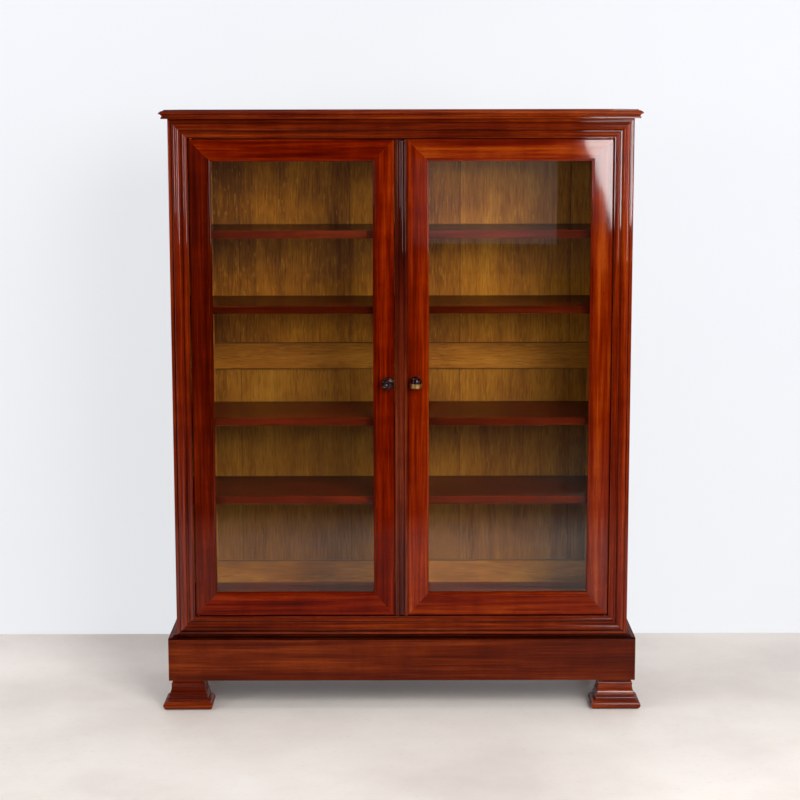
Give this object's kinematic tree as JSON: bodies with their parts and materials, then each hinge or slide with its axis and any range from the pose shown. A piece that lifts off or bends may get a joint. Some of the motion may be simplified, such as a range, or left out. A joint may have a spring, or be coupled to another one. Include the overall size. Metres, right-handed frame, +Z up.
{
  "type": "glazed bookcase",
  "caption": "Tall mahogany bookcase with a pair of glazed doors in a moulded frame, adjustable shelves on toothed racks, a projecting plinth and moulded block feet.",
  "frame": {"origin": "on the floor, under the middle of the bounding box", "axes": "X to the right and Y to the back for someone who stands in front of the doors, Z up"},
  "size_m": [1.292, 0.397, 1.6095],
  "materials": {
    "mahogany": "French-polished red mahogany, glossy",
    "oak": "plain waxed oak",
    "ebonised_wood": "nearly black, polished",
    "glass": "clear, slightly uneven",
    "brass": "aged, softly polished",
    "steel": "dull, lightly brushed"
  },
  "bodies": {
    "case": {"cornice": "mahogany", "ceiling_board": "oak", "side_left": "mahogany", "side_right": "mahogany", "floor_board": "oak", "frame_left": "mahogany", "frame_right": "mahogany", "frame_head": "mahogany", "frame_sill": "mahogany", "plinth_front": "mahogany", "plinth_left": "mahogany", "plinth_right": "mahogany", "ledge_front": "mahogany", "ledge_left": "mahogany", "ledge_right": "mahogany", "foot_front_left": "mahogany", "foot_front_right": "mahogany", "foot_back_left": "mahogany", "foot_back_right": "mahogany", "back_stile_left": "oak", "back_stile_right": "oak", "back_rail_top": "oak", "back_rail_middle": "oak", "back_rail_bottom": "oak", "back_panel_upper": "oak", "back_panel_lower": "oak", "shelf_1": "mahogany", "shelf_2": "mahogany", "shelf_3": "mahogany", "shelf_4": "mahogany", "rack_front_left": "oak", "rack_back_left": "oak", "rack_front_right": "oak", "rack_back_right": "oak", "cleats_left": "oak", "cleats_right": "oak"},
    "left_door": {"left_door_hanging_stile": "mahogany", "left_door_meeting_stile": "mahogany", "left_door_top_rail": "mahogany", "left_door_bottom_rail": "mahogany", "left_door_glass": "glass", "left_door_glazing_beads": "mahogany", "left_door_pivots": "steel", "left_knob": "ebonised_wood", "left_bolt_guides": "steel", "lock_keeper": "brass"},
    "upper_bolt": {"upper_bolt": "steel"},
    "lower_bolt": {"lower_bolt": "steel"},
    "right_door": {"right_door_hanging_stile": "mahogany", "right_door_meeting_stile": "mahogany", "right_door_top_rail": "mahogany", "right_door_bottom_rail": "mahogany", "right_door_glass": "glass", "right_door_glazing_beads": "mahogany", "right_door_pivots": "steel", "astragal": "mahogany", "lock_case": "steel"},
    "lock_bolt": {"lock_bolt": "brass"},
    "turn_knob": {"turn_knob_ferrule": "brass", "turn_knob_dome": "ebonised_wood"}
  },
  "joints": [
    {"name": "left_door_pivot", "type": "hinge", "parent": "case", "child": "left_door", "pos_m": [-0.551, -0.1555, 0.894], "axis": [0, 0, -1], "range_deg": [0, 90]},
    {"name": "right_door_pivot", "type": "hinge", "parent": "case", "child": "right_door", "pos_m": [0.551, -0.1555, 0.894], "axis": [0, 0, 1], "range_deg": [0, 90]},
    {"name": "upper_bolt_slide", "type": "slide", "parent": "left_door", "child": "upper_bolt", "axis": [0, 0, 1], "range_m": [0, 0.012]},
    {"name": "lower_bolt_slide", "type": "slide", "parent": "left_door", "child": "lower_bolt", "axis": [0, 0, -1], "range_m": [0, 0.012]},
    {"name": "turn_knob_spindle", "type": "hinge", "parent": "right_door", "child": "turn_knob", "pos_m": [0.038, -0.182, 0.885], "axis": [0, -1, 0], "range_deg": [0, 90]},
    {"name": "lock_bolt_slide", "type": "slide", "parent": "right_door", "child": "lock_bolt", "axis": [-1, 0, 0], "range_m": [0, 0.014]}
  ],
  "couplings": [
    {"joint": "lock_bolt_slide", "follows": "turn_knob_spindle", "m_per_rad": 0.0089127}
  ]
}
